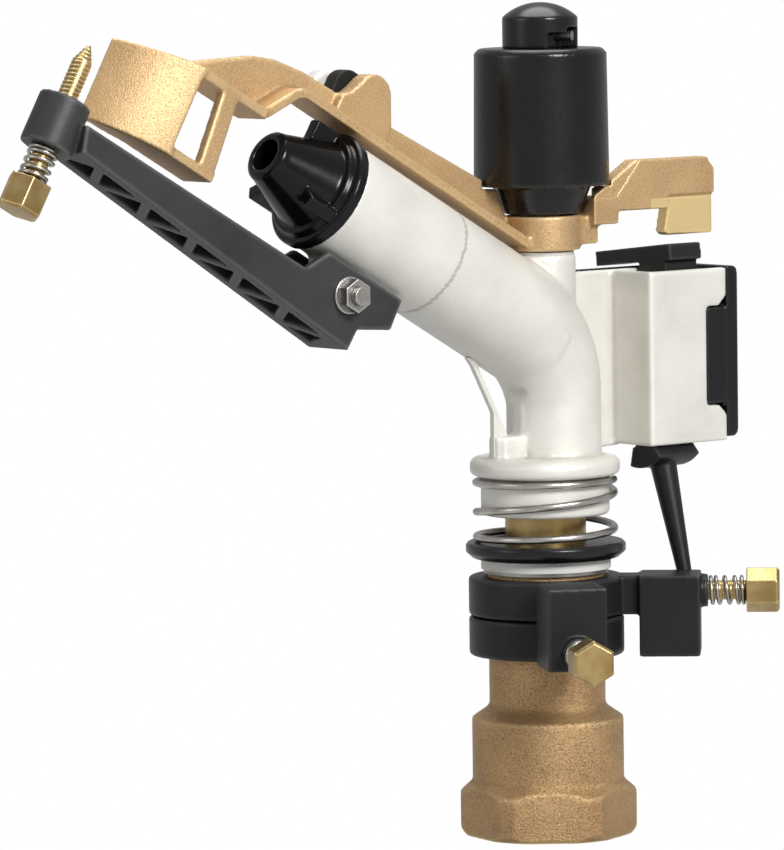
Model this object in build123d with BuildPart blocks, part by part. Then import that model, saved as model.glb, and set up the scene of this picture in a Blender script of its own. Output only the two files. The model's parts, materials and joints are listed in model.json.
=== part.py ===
import os
from math import cos, radians, sin, tan

from build123d import *

os.makedirs("parts", exist_ok=True)

# Fits and gaps
running_gap = 0.05
seat_gap = 0.3

# Cast bronze inlet, female 1 inch pipe thread
thread_minor_r = 15.15
thread_depth = 17.0
hex_across_flats = 39.0
hex_height = 13.0
body_r = 18.4
body_top = 28.5
neck_start = 31.0
neck_r = 14.1
inlet_height = 64.0
flange_chamber_r = 13.4
flange_chamber_top = 30.0

# Bearing tube and the washers under the head
tube_r = 9.8
tube_bore_r = 7.9
tube_flange_r = 13.0
tube_flange_thickness = 3.0
seal_thickness = 2.2
wear_washer_r = 15.2
wear_washer_thickness = 0.9
thrust_washer_r = 15.75
thrust_washer_thickness = 2.6
dust_washer_r = 19.4
dust_washer_thickness = 3.9
friction_wire = 1.85
friction_spring_r = 17.7
friction_turns = 2.25

# Trip collars on the inlet's neck
collar_r = 18.8
lower_collar_bottom = 44.0
collar_height = 9.4
collar_split = 0.3
tab_start = 22.7
tab_end = 37.4
tab_width = 14.3
tab_height = 19.7
tab_neck_width = 9.0
tab_nub_r = 4.0
tab_nub_length = 1.8
upper_tab_angle = -43.0
lower_tab_angle = -119.0

# Collar screws and the diffuser screw
screw_shank_r = 2.3
screw_head_flats = 9.5
screw_head_length = 8.0
screw_spring_length = 9.3
screw_spring_r = 3.65
screw_spring_wire = 0.9
screw_spring_turns = 4

# Head casting
neck_bottom = 78.0
head_neck_r = 15.6
collar_bottom = 87.6
collar_top = 92.0
head_collar_r = 18.2
riser_x = 3.0
riser_r = 11.5
riser_bore_x = 2.4
riser_bore_r = 8.6
trajectory = 29.7
jet_height = 120.2
barrel_r = 14.0
barrel_length = 77.3
barrel_bore_r = 10.8
elbow_radius = 24.0
post_r = 8.0
post_top = 141.0
brace_x = -16.3
brace_width = 3.5
brace_foot_x = -15.1
brace_foot_width = 5.8
brace_foot_top = 97.7
groove_s = 42.5

# Trip housing cast on the head
web_near = 1.2
web_thickness = 3.0
housing_front = 23.1
housing_end = 48.0
housing_near = -13.0
housing_wall = 1.8
housing_bottom = 93.4
housing_top = 135.9
notch_start = 41.5
notch_low = 102.3
notch_high = 126.6
cover_plate = 2.0
cover_end = 3.6
cover_foot = 94.3
cover_left = 14.8
cover_rise = 0.3

# Trip lever and reversing pawl
lever_x = 31.0
lever_start = 25.3
lever_width = 13.0
lever_pivot_y = -4.8
lever_pivot_z = 100.0
lever_tilt = -16.0
lever_length = 41.0
lever_tip_r = 1.7
lever_root_r = 3.3
pawl_pivot_y = -4.5
pawl_pivot_z = 131.0
pawl_tilt = -6.3
pawl_start = 31.0
pawl_end = 41.3
trip_pin_r = 1.5

# Fulcrum pin, spring cover and cap
pin_r = 3.0
pin_top = 196.5
hub_bottom = 142.0
hub_top = 150.4
hub_r = 9.2
bush_r = 5.0
cover_bottom = 150.8
cone_bottom_r = 9.3
cone_top_r = 12.0
cone_top = 157.6
cover_top = 190.7
cover_low_r = 16.4
cover_high_r = 16.0
cover_wall = 2.0
cap_r = 9.1
cap_height = 7.4
cap_dome = 3.6
cross_pin_z = 193.6
cross_pin_r = 1.2
cross_pin_angle = -61.0
cap_slot_angle = -84.0
cap_slot_half = 34.5
cap_slot_r = 4.6
arm_spring_wire = 1.6
arm_spring_turns = 7

# Drive arm
arm_near = -5.0
arm_far = 5.0
arm_web = 3.0
flange_low = 15.5
flange_thickness = 2.4
web_high = 23.4
spoon_near = -6.2
spoon_plate = 2.4
spoon_top = 7.6
spoon_bottom = -15.0
spoon_wall = 2.6
bar_start = 113.6
bar_end = 118.6
tongue_thickness = 5.0
slab_near = -9.0
slab_far = -4.5
striker_bottom = 144.2
striker_left = 32.2
block_left = 9.0
block_right = 17.0
block_bottom = 147.8
block_top = 154.4

# Nozzle
nozzle_ring_r = 14.8
nozzle_ring_length = 2.8
nozzle_tip = 97.3
nozzle_tip_r = 6.6
nozzle_root_r = 11.2
nozzle_bore_r = 4.0
nozzle_step = 1.6
wing_reach = 13.8
wing_thickness = 3.2
wing_length = 8.4
wing_angle = 86.0

# Arm stop on the barrel
stop_near = arm_far + seat_gap
bumper_thickness = 4.0
lug_thickness = 4.6
lug_start = 66.0
lug_end = 86.0
lug_top = 30.4
bumper_s = 76.5
bumper_n = 26.2
bumper_length = 13.0
bumper_height = 10.4

# Diffuser arm under the jet
pivot_s = 64.8
pivot_n = -20.1
ear_thickness = 6.0
diffuser_half_width = 7.5
diffuser_wall = 2.2
boss_s = 154.0
boss_r = 6.2
boss_low = -28.0
boss_high = -15.8
bolt_r = 2.2
nut_flats = 7.0
nut_height = 3.2
washer_r = 4.4
washer_thickness = 0.9

# The jet's own directions: along the jet, and square to it in the upright plane
along = Vector(-cos(radians(trajectory)), 0, sin(radians(trajectory)))
across = Vector(sin(radians(trajectory)), 0, cos(radians(trajectory)))
jet_origin = Vector(0, 0, jet_height)


def jet_point(s, n, y=0.0):
    return jet_origin + along * s + across * n + Vector(0, y, 0)


def side_plane(y):
    """Upright plane at y, x along the jet and y square to it."""
    return Plane(origin=(0, y, jet_height), x_dir=along, z_dir=(0, 1, 0))


def cross_plane(s):
    """Plane square to the jet at s, y square to the jet and upwards."""
    return Plane(origin=jet_point(s, 0), x_dir=(0, -1, 0), z_dir=along)


def square_plane(n, s=0.0):
    """Plane along the jet at height n, x along the jet and y towards +Y."""
    return Plane(origin=jet_point(s, n), x_dir=along, z_dir=across * -1)


def radial_plane(angle, reach, height):
    """Plane square to the radius at an angle, its z outwards."""
    a = radians(angle)
    out = (cos(a), sin(a), 0)
    return Plane(origin=(reach * out[0], reach * out[1], height), x_dir=(0, 0, 1), z_dir=out)


def tilt_plane(x, y, z, tilt):
    """Plane square to X through a pivot, its own axes turned by the tilt."""
    a = radians(tilt)
    return Plane(origin=(x, y, z), x_dir=(0, cos(a), sin(a)), z_dir=(1, 0, 0))


def save(part, label):
    part.label = label
    export_step(part, f"parts/{label}.step")


def coil(plane, outer_r, wire, length, turns):
    """Compression spring between two flat seats, standing on a plane."""
    mean_r = outer_r - wire / 2
    rise = length - wire
    path = Helix(pitch=rise / turns, height=rise, radius=mean_r)
    path = Plane.XY.offset(wire / 2) * path
    section = Plane(origin=path @ 0, z_dir=path % 0) * Circle(wire / 2)
    return plane * sweep(section, path=path)


# Bronze inlet
with BuildPart() as inlet_base:
    with BuildSketch(Plane.XY):
        RegularPolygon(hex_across_flats / 2, 6, major_radius=False, rotation=21)
    extrude(amount=hex_height)
    with BuildSketch(Plane.XZ):
        with BuildLine():
            Polyline(
                (0, 0),
                (20.2, 0),
                (21.4, 1.6),
                (21.4, hex_height - 2.4),
                (18.6, hex_height),
                (0, hex_height),
                close=True,
            )
        make_face()
    revolve(axis=Axis.Z, mode=Mode.INTERSECT)
    with BuildSketch(Plane.XZ):
        with BuildLine():
            Polyline(
                (0, hex_height - 1),
                (body_r, hex_height - 1),
                (body_r, body_top),
                (neck_r + 1.2, neck_start - 0.4),
                (neck_r, neck_start + 0.6),
                (neck_r, inlet_height),
                (0, inlet_height),
                close=True,
            )
        make_face()
    revolve(axis=Axis.Z)
    with BuildSketch(Plane.XZ):
        with BuildLine():
            Polyline(
                (0, 0),
                (thread_minor_r, 0),
                (thread_minor_r, thread_depth),
                (flange_chamber_r, thread_depth + 1.75),
                (flange_chamber_r, flange_chamber_top),
                (tube_r + running_gap, flange_chamber_top),
                (tube_r + running_gap, inlet_height),
                (0, inlet_height),
                close=True,
            )
        make_face()
    revolve(axis=Axis.Z, mode=Mode.SUBTRACT)
save(inlet_base.part, "inlet_base")

# Brass bearing tube, hung under the inlet's shoulder by its flange
seal_top = flange_chamber_top - running_gap
flange_top = seal_top - seal_thickness
tube_bottom = flange_top - tube_flange_thickness
tube_top = collar_top - 1.0
with BuildPart() as bearing_tube:
    with BuildSketch(Plane.XY.offset(tube_bottom)):
        Circle(tube_flange_r)
    extrude(amount=tube_flange_thickness)
    with BuildSketch(Plane.XY.offset(flange_top)):
        Circle(tube_r)
    extrude(amount=tube_top - flange_top)
    with BuildSketch(Plane.XY.offset(tube_bottom)):
        Circle(tube_bore_r)
    extrude(amount=tube_top - tube_bottom, mode=Mode.SUBTRACT)
save(bearing_tube.part, "bearing_tube")


def washer(bottom, thickness, outer_r, inner_r):
    with BuildPart() as ring:
        with BuildSketch(Plane.XY.offset(bottom)):
            Circle(outer_r)
            Circle(inner_r, mode=Mode.SUBTRACT)
        extrude(amount=thickness)
    return ring.part


washer_bore_r = tube_r + running_gap
save(washer(flange_top, seal_thickness, tube_flange_r - 0.2, washer_bore_r), "bearing_seal")
wear_bottom = inlet_height + running_gap
save(washer(wear_bottom, wear_washer_thickness, wear_washer_r, washer_bore_r), "wear_washer")
thrust_bottom = wear_bottom + wear_washer_thickness
save(washer(thrust_bottom, thrust_washer_thickness, thrust_washer_r, washer_bore_r), "thrust_washer")

# Black dust washer with a bevelled underside
dust_bottom = thrust_bottom + thrust_washer_thickness
dust_top = dust_bottom + dust_washer_thickness
with BuildPart() as dust_washer:
    with BuildSketch(Plane.XZ):
        with BuildLine():
            Polyline(
                (washer_bore_r, dust_bottom),
                (dust_washer_r - 1.7, dust_bottom),
                (dust_washer_r, dust_bottom + 1.5),
                (dust_washer_r, dust_top - 0.7),
                (dust_washer_r - 0.7, dust_top),
                (washer_bore_r, dust_top),
                close=True,
            )
        make_face()
    revolve(axis=Axis.Z)
save(dust_washer.part, "dust_washer")

# Friction spring between the dust washer and the head's collar
friction_plane = Plane(origin=(0, 0, dust_top), x_dir=(-1, 1, 0), z_dir=(0, 0, 1))
friction_length = collar_bottom - dust_top
friction_spring = coil(friction_plane, friction_spring_r, friction_wire, friction_length, friction_turns)
save(friction_spring, "friction_spring")


# Trip collar: ring round the neck, a short neck and the tab that meets the lever
def trip_collar(ring_bottom, tab_bottom, screw_z, angle):
    a = radians(angle)
    out = (cos(a), sin(a), 0)
    ring_top = ring_bottom + collar_height
    with BuildPart() as collar:
        with BuildSketch(Plane.XY.offset(ring_bottom)):
            Circle(collar_r)
        extrude(amount=collar_height)
        chamfer(collar.edges().filter_by(GeomType.CIRCLE), 0.5)
        with BuildSketch(Plane(origin=(0, 0, ring_bottom), x_dir=out, z_dir=(0, 0, 1))):
            with Locations(((tab_start + 10) / 2, 0)):
                Rectangle(tab_start + 1 - 10 + 4, tab_neck_width)
        extrude(amount=collar_height)
        with BuildSketch(Plane(origin=(0, 0, tab_bottom), x_dir=out, z_dir=(0, 0, 1))):
            with Locations(((tab_start + tab_end) / 2, 0)):
                Rectangle(tab_end - tab_start, tab_width)
        extrude(amount=tab_height)
        with BuildSketch(radial_plane(angle, tab_end, screw_z)):
            Circle(tab_nub_r)
        extrude(amount=tab_nub_length)
        with BuildSketch(Plane.XY.offset(ring_bottom)):
            Circle(neck_r + running_gap)
        extrude(amount=collar_height, mode=Mode.SUBTRACT)
        with BuildSketch(radial_plane(angle, 0, screw_z)):
            Circle(screw_shank_r + running_gap)
        extrude(amount=tab_end + tab_nub_length, mode=Mode.SUBTRACT)
    return collar.part


# Hex-head screw on a radius: head, shank and a tip that stops short of the neck
def hex_screw(plane, head_start, tip_start, head_length):
    with BuildPart() as screw:
        with BuildSketch(plane.offset(tip_start)):
            Circle(screw_shank_r)
        extrude(amount=head_start - tip_start)
        with BuildSketch(plane.offset(head_start)):
            RegularPolygon(screw_head_flats / 2, 6, major_radius=False)
        extrude(amount=head_length)
        chamfer(screw.faces().sort_by(Axis(plane.origin, plane.z_dir))[-1].edges(), 0.6)
    return screw.part


nub_end = tab_end + tab_nub_length
screw_head_start = nub_end + screw_spring_length
ring_low_bottom = lower_collar_bottom
ring_high_bottom = ring_low_bottom + collar_height + collar_split
tab_low_bottom = ring_low_bottom - 0.1
tab_high_bottom = ring_high_bottom + collar_height - tab_height + 0.3
screw_low_z = ring_low_bottom + tab_nub_r
screw_high_z = ring_high_bottom + collar_height - tab_nub_r
collar_sets = (
    ("upper", ring_high_bottom, tab_high_bottom, screw_high_z, upper_tab_angle),
    ("lower", ring_low_bottom, tab_low_bottom, screw_low_z, lower_tab_angle),
)
for side, ring_bottom, tab_bottom, screw_z, angle in collar_sets:
    save(trip_collar(ring_bottom, tab_bottom, screw_z, angle), f"{side}_collar")
    screw_plane = radial_plane(angle, 0, screw_z)
    screw = hex_screw(screw_plane, screw_head_start, neck_r + seat_gap, screw_head_length)
    save(screw, f"{side}_collar_screw")
    spring_plane = screw_plane.offset(nub_end)
    spring = coil(spring_plane, screw_spring_r, screw_spring_wire, screw_spring_length, screw_spring_turns)
    save(spring, f"{side}_screw_spring")


# Aluminium head casting: neck and collar, riser, elbow, barrel, post, strut and trip housing
elbow_tangent = elbow_radius * tan(radians((90 - trajectory) / 2))
elbow_corner_z = jet_height - riser_x * tan(radians(trajectory))
elbow_low_z = elbow_corner_z - elbow_tangent
elbow_end_s = elbow_tangent - riser_x / cos(radians(trajectory))
elbow_middle = (90 - trajectory) / 2
middle_dir = Vector(-sin(radians(elbow_middle)), 0, cos(radians(elbow_middle)))
middle_point = Vector(
    riser_x - elbow_radius * (1 - cos(radians(elbow_middle))),
    0,
    elbow_low_z + elbow_radius * sin(radians(elbow_middle)),
)
elbow_middle_r = (riser_r + barrel_r) / 2
ear_end_n = pivot_n - 5.0
with BuildPart() as head_body:
    with BuildSketch(Plane.XZ):
        with BuildLine():
            Polyline(
                (0, neck_bottom),
                (head_neck_r - 0.6, neck_bottom),
                (head_neck_r, neck_bottom + 0.6),
                (head_neck_r, collar_bottom),
                (head_collar_r - 0.8, collar_bottom),
                (head_collar_r, collar_bottom + 0.8),
                (head_collar_r, collar_top - 1.2),
                (head_collar_r - 1.2, collar_top),
                (0, collar_top),
                close=True,
            )
        make_face()
    revolve(axis=Axis.Z)
    with BuildSketch(Plane.XY.offset(collar_top - 1)):
        with Locations((riser_x, 0)):
            Circle(riser_r)
    extrude(amount=elbow_low_z - collar_top + 1)
    with BuildSketch(Plane(origin=(riser_x, 0, elbow_low_z), x_dir=(0, -1, 0), z_dir=(0, 0, 1))):
        Circle(riser_r)
    with BuildSketch(Plane(origin=middle_point, x_dir=(0, -1, 0), z_dir=middle_dir)):
        Circle(elbow_middle_r)
    with BuildSketch(cross_plane(elbow_end_s)):
        Circle(barrel_r)
    loft()
    with BuildSketch(cross_plane(elbow_end_s - 0.5)):
        Circle(barrel_r)
    extrude(amount=barrel_length - elbow_end_s + 0.5)
    with BuildSketch(cross_plane(3.5)):
        Circle(barrel_r)
        with Locations((0, barrel_r / 2)):
            Rectangle(2 * barrel_r, barrel_r, mode=Mode.SUBTRACT)
    extrude(amount=elbow_end_s)
    with BuildSketch(Plane.XY.offset(jet_height)):
        Circle(post_r)
    extrude(amount=post_top - jet_height)
    # Brace from the barrel's underside down to the collar, with its open triangle
    with BuildSketch(Plane.XZ.offset(-brace_width / 2)):
        with BuildLine():
            Polyline(
                (brace_x, collar_top - 1),
                (brace_x, 105.5),
                (-24.5, 115.0),
                (-26.0, 121.5),
                (-10.0, 121.5),
                (-4.0, 112.0),
                (-4.0, collar_top - 1),
                close=True,
            )
        make_face()
        with BuildLine():
            Polyline(
                (-9.0, brace_foot_top),
                (-9.0, 109.2),
                (-20.9, 116.0),
                (-21.6, 114.8),
                (-12.0, brace_foot_top),
                close=True,
            )
        make_face(mode=Mode.SUBTRACT)
    extrude(amount=brace_width)
    with BuildSketch(Plane.XY.offset(collar_top - 1)):
        with Locations((brace_foot_x / 2, 0)):
            Rectangle(-brace_foot_x, brace_foot_width)
    extrude(amount=brace_foot_top - collar_top + 1)
    # Web beside the riser and the post, running into the trip housing
    with BuildSketch(Plane.XZ.offset(-web_near - web_thickness)):
        with BuildLine():
            Polyline(
                (0, collar_top - 1),
                (housing_front + housing_wall, collar_top - 1 + 2.0),
                (housing_front + housing_wall, 97.0),
                (housing_end, 97.0),
                (housing_end, housing_top),
                (0, housing_top),
                close=True,
            )
        make_face()
    extrude(amount=web_thickness)
    with BuildSketch(Plane.XY.offset(housing_bottom)):
        with BuildLine():
            Polyline(
                (housing_front, web_near + 1),
                (housing_front, housing_near),
                (housing_end, housing_near),
                (housing_end, housing_near + housing_wall),
                (housing_front + housing_wall, housing_near + housing_wall),
                (housing_front + housing_wall, web_near + 1),
                close=True,
            )
        make_face()
    extrude(amount=housing_top - housing_bottom)
    # Notch in the near wall with rounded lips
    with BuildSketch(Plane.XZ.offset(-housing_near - housing_wall - 0.5)):
        with BuildLine():
            Polyline(
                (notch_start, notch_low),
                (housing_end - 2.4, notch_low),
                (housing_end, notch_low - 2.4),
                (housing_end + 1, notch_low - 2.4),
                (housing_end + 1, notch_high + 2.4),
                (housing_end, notch_high + 2.4),
                (housing_end - 2.4, notch_high),
                (notch_start, notch_high),
                close=True,
            )
        make_face()
    extrude(amount=housing_wall + 1, mode=Mode.SUBTRACT)
    # Arm stop: lug on the far side of the barrel's end
    with BuildSketch(side_plane(stop_near + bumper_thickness)):
        with BuildLine():
            Polyline(
                (lug_start, 2.0),
                (lug_end - 10, 2.0),
                (lug_end - 10, 17.8),
                (lug_end - 2, 20.6),
                (lug_end, 23.0),
                (lug_end, lug_top - 4.4),
                (lug_end - 1.7, lug_top - 1.5),
                (lug_end - 5, lug_top),
                (lug_start + 6, lug_top),
                (lug_start + 1, lug_top - 9),
                close=True,
            )
        make_face()
    extrude(amount=lug_thickness)
    # Shallow turned groove round the barrel
    with BuildSketch(cross_plane(groove_s)):
        Circle(barrel_r + 1)
        Circle(barrel_r - 0.4, mode=Mode.SUBTRACT)
    extrude(amount=0.7, mode=Mode.SUBTRACT)
    # Ear under the barrel that carries the diffuser arm
    with BuildSketch(side_plane(-ear_thickness / 2)):
        with BuildLine():
            Polyline(
                (pivot_s - 9, -barrel_r + 3),
                (pivot_s - 5, pivot_n - 0.5),
                (pivot_s - 3, ear_end_n),
                (pivot_s + 3, ear_end_n),
                (pivot_s + 5, pivot_n - 0.5),
                (pivot_s + 9, -barrel_r + 3),
                close=True,
            )
        make_face()
    extrude(amount=ear_thickness)
    # Water way, bearing tube's seat and pin holes
    with BuildSketch(Plane.XY.offset(neck_bottom)):
        Circle(tube_r)
    extrude(amount=tube_top - neck_bottom, mode=Mode.SUBTRACT)
    with BuildSketch(Plane.XY.offset(tube_top)):
        with Locations((riser_bore_x, 0)):
            Circle(riser_bore_r)
    extrude(amount=jet_height - tube_top, mode=Mode.SUBTRACT)
    with Locations(jet_origin):
        Sphere(riser_bore_r + 0.6, mode=Mode.SUBTRACT)
    with BuildSketch(cross_plane(4.0)):
        Circle(riser_bore_r)
    with BuildSketch(cross_plane(14.0)):
        Circle(barrel_bore_r)
    loft(mode=Mode.SUBTRACT)
    with BuildSketch(cross_plane(14.0)):
        Circle(barrel_bore_r)
    extrude(amount=barrel_length, mode=Mode.SUBTRACT)
    with BuildSketch(Plane.XY.offset(jet_height + riser_bore_r + 2.2)):
        Circle(pin_r)
    extrude(amount=post_top, mode=Mode.SUBTRACT)
    with BuildSketch(side_plane(-ear_thickness)):
        with Locations((pivot_s, pivot_n)):
            Circle(bolt_r + running_gap)
    extrude(amount=2 * ear_thickness, mode=Mode.SUBTRACT)
    for pin_y, pin_z in ((lever_pivot_y, lever_pivot_z), (pawl_pivot_y, pawl_pivot_z)):
        with BuildSketch(Plane(origin=(housing_front + 0.8, pin_y, pin_z), z_dir=(1, 0, 0))):
            Circle(trip_pin_r)
        extrude(amount=housing_wall, mode=Mode.SUBTRACT)
save(head_body.part, "head_body")

# Fulcrum pin, screwed into the post and up through arm, cover and cap
pin_bottom = jet_height + riser_bore_r + 2.2
with BuildPart() as fulcrum_pin:
    with BuildSketch(Plane.XY.offset(pin_bottom)):
        Circle(pin_r)
    extrude(amount=pin_top - pin_bottom)
    with BuildSketch(radial_plane(cross_pin_angle, -cap_r, cross_pin_z)):
        Circle(cross_pin_r)
    extrude(amount=2 * cap_r, mode=Mode.SUBTRACT)
save(fulcrum_pin.part, "fulcrum_pin")

# Spring cover: tapered shell over a cone that stands on the arm's hub
with BuildPart() as spring_cover:
    with BuildSketch(Plane.XZ):
        with BuildLine():
            Polyline(
                (pin_r + running_gap, cover_bottom),
                (cone_bottom_r, cover_bottom),
                (cone_top_r, cone_top),
                (cover_low_r, cone_top),
                (cover_high_r, cover_top - 1.2),
                (cover_high_r - 1.2, cover_top),
                (pin_r + running_gap, cover_top),
                (pin_r + running_gap, cover_top - cover_wall),
                (cover_high_r - cover_wall, cover_top - cover_wall),
                (cover_low_r - cover_wall, cone_top + cover_wall),
                (cone_top_r - cover_wall + 0.6, cone_top + cover_wall),
                (cone_bottom_r - cover_wall + 0.6, cover_bottom + cover_wall),
                (pin_r + running_gap, cover_bottom + cover_wall),
                close=True,
            )
        make_face()
    revolve(axis=Axis.Z)
save(spring_cover.part, "spring_cover")

# Arm return spring, coiled round the pin inside the cover
arm_spring_bottom = cover_bottom + cover_wall + 1.0
arm_spring_length = cover_top - cover_wall - arm_spring_bottom
arm_spring_small_r = cone_bottom_r - cover_wall
arm_spring_plane = Plane.XY.offset(arm_spring_bottom)
arm_spring = coil(arm_spring_plane, arm_spring_small_r, arm_spring_wire, arm_spring_length, arm_spring_turns)
save(arm_spring, "arm_spring")

# Adjusting cap with a domed top and a stepped slot for the cross pin
cap_wall_top = cover_top + cap_height
dome_r = (cap_r**2 + cap_dome**2) / (2 * cap_dome)
with BuildPart() as cap_button:
    with BuildSketch(Plane.XZ):
        with BuildLine():
            Polyline((0, cap_wall_top + cap_dome), (0, cover_top), (cap_r, cover_top), (cap_r, cap_wall_top))
            RadiusArc((0, cap_wall_top + cap_dome), (cap_r, cap_wall_top), dome_r)
        make_face()
    revolve(axis=Axis.Z)
    with BuildSketch(Plane.XY.offset(cover_top)):
        Circle(pin_r + running_gap)
    extrude(amount=pin_top - cover_top + 0.5, mode=Mode.SUBTRACT)
    with BuildSketch(radial_plane(cross_pin_angle, -cap_r, cross_pin_z)):
        Circle(cross_pin_r)
    extrude(amount=2 * cap_r, mode=Mode.SUBTRACT)
    slot_steps = ((-cap_slot_half, 0, 3.6), (0, cap_slot_half, 4.9))
    for step_start, step_end, step_rise in slot_steps:
        with BuildSketch(Plane.XY.offset(cover_top)):
            for side in (0, 180):
                first = radians(cap_slot_angle + side + step_start)
                last = radians(cap_slot_angle + side + step_end)
                with BuildLine():
                    Polyline(
                        (0, 0),
                        (2 * cap_r * cos(first), 2 * cap_r * sin(first)),
                        (2 * cap_r * cos(last), 2 * cap_r * sin(last)),
                        close=True,
                    )
                make_face()
            Circle(cap_slot_r, mode=Mode.SUBTRACT)
        extrude(amount=step_rise, mode=Mode.SUBTRACT)
save(cap_button.part, "cap_button")

with BuildPart() as cross_pin:
    with BuildSketch(radial_plane(cross_pin_angle, -cap_r + 0.8, cross_pin_z)):
        Circle(cross_pin_r)
    extrude(amount=2 * cap_r - 1.6)
save(cross_pin.part, "cross_pin")

# Nozzle: ring on the barrel's end, cone with three grip wings, threaded skirt inside the barrel
nozzle_skirt = 12.0
nozzle_face = barrel_length + nozzle_ring_length
with BuildPart() as nozzle:
    with BuildSketch(Plane(origin=jet_origin, x_dir=along, z_dir=(0, 1, 0))):
        with BuildLine():
            Polyline(
                (barrel_length - nozzle_skirt, 0),
                (barrel_length - nozzle_skirt, barrel_bore_r),
                (barrel_length, barrel_bore_r),
                (barrel_length, nozzle_ring_r),
                (nozzle_face - 0.6, nozzle_ring_r),
                (nozzle_face, nozzle_ring_r - 0.6),
                (nozzle_face, nozzle_root_r + 2.0),
                (nozzle_face + nozzle_step, nozzle_root_r + 1.4),
                (nozzle_face + nozzle_step, nozzle_root_r),
                (nozzle_tip - 2.2, nozzle_tip_r),
                (nozzle_tip - 0.8, nozzle_tip_r - 0.3),
                (nozzle_tip, nozzle_tip_r - 1.3),
                (nozzle_tip, 0),
                close=True,
            )
        make_face()
    revolve(axis=Axis(jet_origin, along))
    with BuildSketch(cross_plane(nozzle_face - 1)):
        with PolarLocations(0, 3, start_angle=wing_angle):
            with Locations((wing_reach / 2, 0)):
                Rectangle(wing_reach, wing_thickness)
    extrude(amount=wing_length + 1)
    with BuildSketch(Plane(origin=jet_origin, x_dir=along, z_dir=(0, 1, 0))):
        with BuildLine():
            Polyline(
                (barrel_length - nozzle_skirt, 0),
                (barrel_length - nozzle_skirt, barrel_bore_r - 1.6),
                (barrel_length - 2, barrel_bore_r - 1.8),
                (nozzle_tip - 9, nozzle_bore_r),
                (nozzle_tip, nozzle_bore_r),
                (nozzle_tip, 0),
                close=True,
            )
        make_face()
    revolve(axis=Axis(jet_origin, along), mode=Mode.SUBTRACT)
save(nozzle.part, "nozzle")

nozzle_back = barrel_length - nozzle_skirt
with BuildPart() as nozzle_seal:
    with BuildSketch(cross_plane(nozzle_back - 2.0)):
        Circle(barrel_bore_r)
        Circle(barrel_bore_r - 2.0, mode=Mode.SUBTRACT)
    extrude(amount=2.0)
save(nozzle_seal.part, "nozzle_seal")

# Stream straightener: ring with four crossed vanes
with BuildPart() as stream_vane:
    with BuildSketch(cross_plane(nozzle_back - 30.0)):
        Circle(barrel_bore_r)
        Circle(barrel_bore_r - 1.0, mode=Mode.SUBTRACT)
        with PolarLocations(0, 2):
            Rectangle(2 * barrel_bore_r - 1, 1.0)
    extrude(amount=28.0)
save(stream_vane.part, "stream_vane")

# Rubber bumper between the lug and the arm's tongue
with BuildPart() as stop_bumper:
    with BuildSketch(side_plane(stop_near)):
        with Locations((bumper_s, bumper_n)):
            RectangleRounded(bumper_length, bumper_height, 4.2)
    extrude(amount=bumper_thickness)
save(stop_bumper.part, "stop_bumper")

# Black cover of the trip housing: far plate, end plate and a tongue that fills the notch
cover_near = web_near + web_thickness
cover_screw_points = ((20, 104), (20, 130), (44, 130))
cover_screw_r = 1.45
cover_screw_head_r = 2.8
cover_screw_head = 1.6
with BuildPart() as mechanism_cover:
    with BuildSketch(Plane.XY.offset(cover_foot)):
        with BuildLine():
            Polyline(
                (cover_left, cover_near),
                (housing_end, cover_near),
                (housing_end, housing_near),
                (housing_end + cover_end, housing_near),
                (housing_end + cover_end, cover_near + cover_plate),
                (cover_left, cover_near + cover_plate),
                close=True,
            )
        make_face()
    extrude(amount=housing_top + cover_rise - cover_foot)
    end_corners = mechanism_cover.edges().filter_by(Axis.Y).group_by(Axis.X)[-1]
    fillet(end_corners, 1.6)
    with BuildSketch(Plane.XZ.offset(-housing_near - housing_wall)):
        with Locations(((notch_start + housing_end) / 2 + 0.2, (notch_low + notch_high) / 2)):
            Rectangle(housing_end - notch_start, notch_high - notch_low - 0.6)
    extrude(amount=housing_wall - 0.4)
    with BuildSketch(Plane.XZ.offset(-cover_near - cover_plate)):
        with Locations(*cover_screw_points):
            Circle(cover_screw_r + running_gap)
    extrude(amount=cover_plate, mode=Mode.SUBTRACT)
save(mechanism_cover.part, "mechanism_cover")

# Cover screws, with their heads on the far plate
with BuildPart() as cover_screws:
    with BuildSketch(Plane.XZ.offset(-cover_near - cover_plate - cover_screw_head)):
        with Locations(*cover_screw_points):
            Circle(cover_screw_head_r)
    extrude(amount=cover_screw_head)
    with BuildSketch(Plane.XZ.offset(-cover_near - cover_plate)):
        with Locations(*cover_screw_points):
            Circle(cover_screw_r)
    extrude(amount=cover_plate)
save(cover_screws.part, "cover_screws")

# Pins of lever and pawl, from the housing's front wall to the cover's end plate
trip_pins = (("lever_pin", lever_pivot_y, lever_pivot_z), ("pawl_pin", pawl_pivot_y, pawl_pivot_z))
for label, pin_y, pin_z in trip_pins:
    with BuildPart() as trip_pin:
        with BuildSketch(Plane(origin=(housing_front + 0.8, pin_y, pin_z), z_dir=(1, 0, 0))):
            Circle(trip_pin_r)
        extrude(amount=housing_end - housing_front - 0.8)
    save(trip_pin.part, label)

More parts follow.
